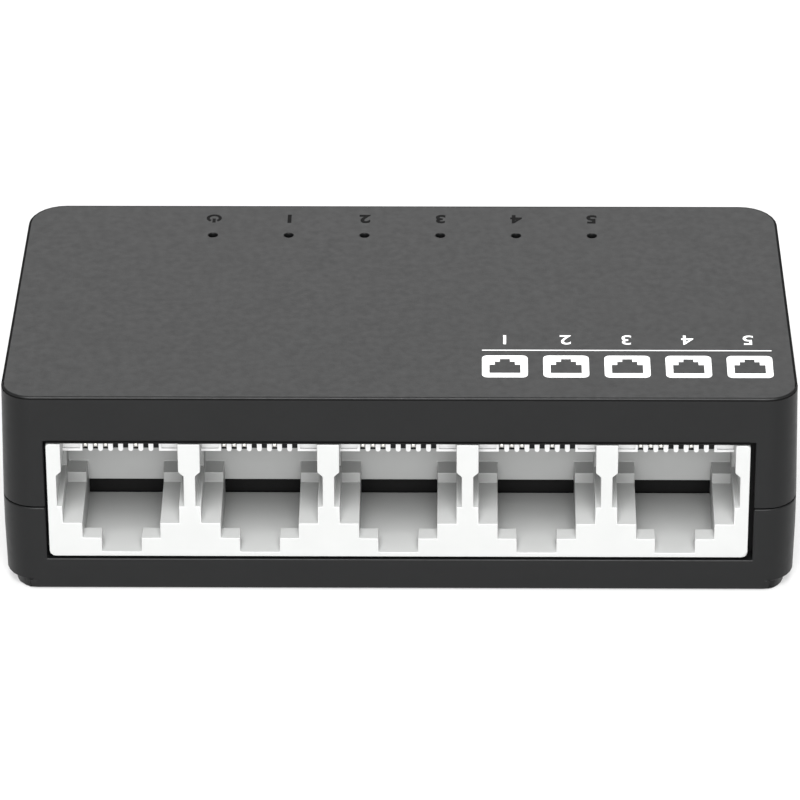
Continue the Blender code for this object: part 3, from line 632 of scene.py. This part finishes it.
LEAD_WIDTH = 0.34 * MM
LEAD_THICKNESS = 0.26 * MM
LEAD_START = 0.5 * MM  # behind the front of the contact's bend
LEAD_SINK = 0.01 * MM
LEAD_SETBACK = 0.3 * MM
LEAD_BEND = 0.35 * MM
LEAD_BEND_STEPS = 5
LEAD_TAIL = 0.4 * MM
SOLDER_RADIUS = 0.42 * MM
SOLDER_HEIGHT = 0.35 * MM
SOLDER_SIDES = 12
# A solder fillet: shares of its radius and of its height
SOLDER_PROFILE = ((1.0, 0.0), (0.72, 0.12), (0.5, 0.32), (0.36, 0.62), (0.3, 1.0))


def add_strip(bm, x, points):
    """A flat lead bent along its middles, which are places in Y and Z."""
    rings = []
    for i, point in enumerate(points):
        before = Vector(points[max(i - 1, 0)])
        after = Vector(points[min(i + 1, len(points) - 1)])
        along = (after - before).normalized()
        across = Vector((-along.y, along.x)) * LEAD_THICKNESS / 2
        ring = []
        for side, turn in ((-1, 1), (1, 1), (1, -1), (-1, -1)):
            spot = Vector(point) + across * turn
            ring.append(bm.verts.new((x + side * LEAD_WIDTH / 2, spot.x, spot.y)))
        rings.append(ring)
    add_skin(bm, rings)


def add_fillet(bm, x, y):
    """A fillet of solder that hugs a lead where it meets the board."""
    rings = []
    for share, rise in SOLDER_PROFILE:
        circle = arc_points((x, y), SOLDER_RADIUS * share, 0, 360, SOLDER_SIDES)[:-1]
        rings.append([bm.verts.new((*spot, BOARD_TOP + SOLDER_HEIGHT * rise)) for spot in circle])
    add_skin(bm, rings)


def add_contact_leads(looks):
    """The fixed legs of the contacts: back over each cavity, down the carrier's grooves, into the board."""
    for port in PORTS:
        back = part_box(f"port_{port}_contact_carrier")[1].y - LEAD_SETBACK
        wires, joints = bmesh.new(), bmesh.new()
        for slot in CONTACT_SLOTS:
            low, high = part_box(f"port_{port}_contact_{slot}")
            x = (low.x + high.x) / 2
            z = high.z - LEAD_THICKNESS / 2 - LEAD_SINK
            bend = arc_points((back - LEAD_BEND, z - LEAD_BEND), LEAD_BEND, 90, 0, LEAD_BEND_STEPS)
            add_strip(wires, x, [(low.y + LEAD_START, z), *bend, (back, BOARD_TOP - LEAD_TAIL)])
            add_fillet(joints, x, back)
        leads = object_from(f"port_{port}_fixed_leads", outward(wires))
        finish_piece(leads, looks["contact_metal"])
        solder = object_from(f"port_{port}_lead_solder", outward(joints))
        finish_piece(solder, looks["solder"])


# ---------------------------------------------------------------- combs of the sockets

SLOTS = 8
SLOT_PITCH = 1.016 * MM
COMB_FRONT = CASE_FRONT + 3.0 * MM
COMB_LOW = 14.73 * MM
COMB_HIGH = 16.3 * MM
SLOTS_HALF = 3.849 * MM
CAVITY_HALF = 5.875 * MM
SHOULDER_RIM = 0.28 * MM
POCKET_DEPTH = 0.15 * MM
FACING = 0.03 * MM
RIB_END_WIDTH = 0.48 * MM
RIB_END_STEPS = 8
# The fingers are painted shade: black plates in the empty slots and bars under the contact bends, standing
# partly for the carrier's black front.
FINGER_HALF = 0.27 * MM
FINGER_THICKNESS = 0.12 * MM
# Fingers: their lower and upper level, and their depth behind the comb's front
WIRED_FINGER = ((14.78 * MM, 14.92 * MM), 0.3 * MM)
FREE_FINGER = ((14.95 * MM, 16.3 * MM), 0.2 * MM)


def add_rib_end(bm, x):
    """A thin facing on the front of one rib, with a round lower end, in lightened plastic: painted light."""
    half = RIB_END_WIDTH / 2
    foot = arc_points((x, COMB_LOW - FACING + half), half, 0, -180, RIB_END_STEPS)
    outline = [(x + half, COMB_HIGH), *foot, (x - half, COMB_HIGH)]
    add_skin(bm, [[bm.verts.new((a, y, b)) for a, b in outline] for y in (COMB_FRONT - FACING, COMB_FRONT)])


def add_shoulder(bm, centre, side):
    """The facing of the solid stretch beside a comb, in lightened plastic as painted light: its frame, and
    the floor of its shallow pocket.
    """
    front = COMB_FRONT - FACING
    for inner, outer, level, start in (
        (SLOTS_HALF, CAVITY_HALF, (COMB_LOW, COMB_LOW + SHOULDER_RIM), front),
        (SLOTS_HALF, SLOTS_HALF + SHOULDER_RIM, (COMB_LOW + SHOULDER_RIM, COMB_HIGH), front),
        (SLOTS_HALF + SHOULDER_RIM, CAVITY_HALF, (COMB_LOW + SHOULDER_RIM, COMB_HIGH), front + POCKET_DEPTH),
    ):
        ends = sorted((centre + side * inner, centre + side * (outer - INK)))
        add_box(bm, (ends[0], start, level[0]), (ends[1], start + FACING, level[1]))


def add_finger(bm, x, level, depth):
    front = COMB_FRONT + depth
    low = (x - FINGER_HALF, front, level[0])
    add_box(bm, low, (x + FINGER_HALF, front + FINGER_THICKNESS, level[1]))


def add_combs(looks):
    """The white front ends of each comb's ribs, lightened as painted light, and black fingers between them:
    painted shade in the slots, standing partly for the carrier's black front.
    """
    for port in PORTS:
        centre = middle(f"port_{port}_contact_carrier").x
        faces, fingers = bmesh.new(), bmesh.new()
        for i in range(1 - SLOTS // 2, SLOTS // 2):
            add_rib_end(faces, centre + i * SLOT_PITCH)
        for side in (-1, 1):
            add_shoulder(faces, centre, side)
        for slot in range(1, SLOTS + 1):
            finger = WIRED_FINGER if slot in CONTACT_SLOTS else FREE_FINGER
            add_finger(fingers, centre + (slot - (SLOTS + 1) / 2) * SLOT_PITCH, *finger)
        # The rib ends and shoulders take the lightened white plastic: painted light.
        ends = object_from(f"port_{port}_rib_ends", outward(faces))
        finish_piece(ends, looks["rib_plastic_lit"])
        # The fingers take the carrier's black plastic as painted shade.
        comb = object_from(f"port_{port}_shade_fingers", outward(fingers))
        finish_piece(comb, looks["carrier_plastic"])


# ---------------------------------------------------------------- painted gap shade and painted rim shade

# Black strips that paint the shade in the gaps round the socket block
GAP_SHADE_INSET = 0.05 * MM
GAP_SHADE_DEPTH = 1.2 * MM
GAP_SHADE_CLEARANCE = 0.1 * MM
GAP_SHADE_WIDTH = 0.6 * MM
GAP_SHADE_HEIGHT = 0.23 * MM
SIDE_GAP_SHADE_BACK = 2.1 * MM
RIM_DROP = 0.35 * MM
# The rim's faces: least and most upward turn, towards the front and elsewhere
RIM_FRONT = (0.05, 0.6)
RIM_BACK = (0.4, 0.995)
FRONT_TURN = -0.05  # a face is towards the front when it turns further to -Y than this


def add_seal(looks):
    """Black strips of painted shade in the gaps between the socket block and the case."""
    bm = bmesh.new()
    start = (BLOCK_LOW.x + GAP_SHADE_INSET, CASE_FRONT + GAP_SHADE_INSET, BLOCK_HIGH.z + GAP_SHADE_CLEARANCE)
    add_box(bm, start, (BLOCK_HIGH.x - GAP_SHADE_INSET, CASE_FRONT + GAP_SHADE_DEPTH, BLOCK_HIGH.z + GAP_SHADE_HEIGHT))
    back = CASE_FRONT + SIDE_GAP_SHADE_BACK
    for left, right in (
        (BLOCK_LOW.x - GAP_SHADE_WIDTH, BLOCK_LOW.x - INK),
        (BLOCK_HIGH.x + INK, BLOCK_HIGH.x + GAP_SHADE_WIDTH),
    ):
        add_box(bm, (left, back - GAP_SHADE_HEIGHT, BLOCK_LOW.z), (right, back, BLOCK_HIGH.z))
    # The strips are painted shade, in the carrier's black plastic.
    finish_piece(object_from("socket_block_seal", bm), looks["carrier_plastic"])


def on_rim(face):
    least, most = RIM_FRONT if face.normal.y < FRONT_TURN else RIM_BACK
    return face.calc_center_median().z > CASE_TOP - RIM_DROP and least < face.normal.z < most


def add_rim_line(looks):
    """A dark film of painted shade round the top face, where it turns down into the walls."""
    bm = welded("top_cover")
    bmesh.ops.delete(bm, geom=[face for face in bm.faces if not on_rim(face)], context="FACES")
    bm.normal_update()
    for vert in bm.verts:
        vert.co += vert.normal * INK
    line = object_from("case_rim_shade", bm)
    skin = line.modifiers.new("thickness", "SOLIDIFY")
    skin.thickness = INK
    skin.offset = -1.0
    # The rim shade takes the dark print's material: it is painted shade, not print.
    finish_piece(line, looks["dark_ink_and_shade"])


# ---------------------------------------------------------------- package legs

LEG_THICKNESS = 0.15 * MM
LEG_ROOT = 0.05 * MM
LEG_RISE = 0.3 * MM
# Package, legs a side along X, legs a side along Y, pitch, leg width, reach
LEGS = (
    ("switch_chip", 16, 16, 0.5 * MM, 0.22 * MM, 1.0 * MM),
    ("transformer_quad", 20, 0, 1.27 * MM, 0.4 * MM, 1.1 * MM),
    ("transformer_single", 8, 0, 1.27 * MM, 0.4 * MM, 1.1 * MM),
    ("voltage_regulator", 4, 0, 1.27 * MM, 0.4 * MM, 1.0 * MM),
)


def add_leg(bm, x, y, out, height, reach, width):
    """One gull-wing leg. out is the unit direction in which it leaves the package."""
    half = LEG_THICKNESS / 2
    across = Vector((-out.y, out.x)) * width / 2
    rings = []
    for share, z in ((0.0, height), (0.28, height), (0.46, height * 0.55), (0.62, half), (1.0, half)):
        spot = Vector((x, y)) + out * reach * share
        ring = []
        for side, rise in ((-1, -1), (1, -1), (1, 1), (-1, 1)):
            ring.append(bm.verts.new((*(spot + across * side), BOARD_TOP + z + rise * half)))
        rings.append(ring)
    add_skin(bm, rings)


def add_package_legs(looks):
    for node, along_x, along_y, pitch, width, reach in LEGS:
        low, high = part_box(node)
        centre = (low + high) / 2
        shape = (low.z - BOARD_TOP + LEG_RISE, reach, width)
        bm = bmesh.new()
        for i in range(along_x):
            x = centre.x + (i - (along_x - 1) / 2) * pitch
            add_leg(bm, x, low.y + LEG_ROOT, Vector((0, -1)), *shape)
            add_leg(bm, x, high.y - LEG_ROOT, Vector((0, 1)), *shape)
        for i in range(along_y):
            y = centre.y + (i - (along_y - 1) / 2) * pitch
            add_leg(bm, low.x + LEG_ROOT, y, Vector((-1, 0)), *shape)
            add_leg(bm, high.x - LEG_ROOT, y, Vector((1, 0)), *shape)
        finish_piece(object_from(f"{node}_legs", outward(bm)), looks["solder"])


# ---------------------------------------------------------------- small parts on the board

SMALL_PARTS_SEED = 7
SMALL_PART = (1.6 * MM, 0.8 * MM, 0.5 * MM)
SMALL_PART_SHIFT = 0.05 * MM
SMALL_PART_LIFT = 0.02 * MM
QUAD_LOW, QUAD_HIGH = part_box("transformer_quad")
CHIP_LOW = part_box("switch_chip")[0]
# Rows on the free parts of the board: X and Y of the first part, how many parts, and their pitch
PART_ROWS = (
    (QUAD_LOW.x + 24.2 * MM, QUAD_HIGH.y + 2.2 * MM, 2, 2.6 * MM),
    (2.4 * MM, QUAD_HIGH.y + 3.4 * MM, 7, 2.6 * MM),
    (2.4 * MM, QUAD_HIGH.y + 5.6 * MM, 7, 2.6 * MM),
    (CHIP_LOW.x + 0.9 * MM, CHIP_LOW.y - 2.6 * MM, 4, 2.4 * MM),
)
BODY_EDGE = 0.05 * MM
CAP_EDGE = 0.08 * MM
# Shares of a small part's length, width and height
BODY_REACH = 0.32
CAP_START = 0.30
CAP_HALF_WIDTH = 0.53
CAP_HEIGHT = 1.06


def add_chip_block(bm, low, high, edge):
    """A box whose upper edges are rounded."""
    made = add_box(bm, low, high)
    upper = {vert for vert in made["verts"] if vert.co.z > (low[2] + high[2]) / 2}
    edges = [e for e in bm.edges if upper.issuperset(e.verts)]
    bmesh.ops.bevel(bm, geom=edges, offset=edge, segments=2, profile=0.5, affect="EDGES")


def small_part_places():
    """The middles of the small resistors and capacitors, slightly uneven as placed."""
    rng = random.Random(SMALL_PARTS_SEED)
    places = [(x + pitch * i, y) for x, y, count, pitch in PART_ROWS for i in range(count)]
    return [tuple(value + rng.uniform(-1, 1) * SMALL_PART_SHIFT for value in place) for place in places]


def add_small_parts(looks):
    length, width, height = SMALL_PART
    bodies, caps = bmesh.new(), bmesh.new()
    for x, y in small_part_places():
        low = (x - length * BODY_REACH, y - width / 2, BOARD_TOP + SMALL_PART_LIFT)
        add_chip_block(bodies, low, (x + length * BODY_REACH, y + width / 2, BOARD_TOP + height), BODY_EDGE)
        for side in (-1, 1):
            left, right = sorted((x + side * length * CAP_START, x + side * length / 2))
            low = (left, y - width * CAP_HALF_WIDTH, BOARD_TOP)
            high = (right, y + width * CAP_HALF_WIDTH, BOARD_TOP + height * CAP_HEIGHT)
            add_chip_block(caps, low, high, CAP_EDGE)
    finish_piece(object_from("small_part_bodies", outward(bodies)), looks["chip_resin"])
    finish_piece(object_from("small_part_ends", outward(caps)), looks["solder"])


def main():
    looks = make_looks()
    add_studio()
    finish_nodes(looks)
    add_signs(looks)
    add_legend(looks)
    add_contact_leads(looks)
    add_combs(looks)
    add_seal(looks)
    add_rim_line(looks)
    add_package_legs(looks)
    add_small_parts(looks)


main()
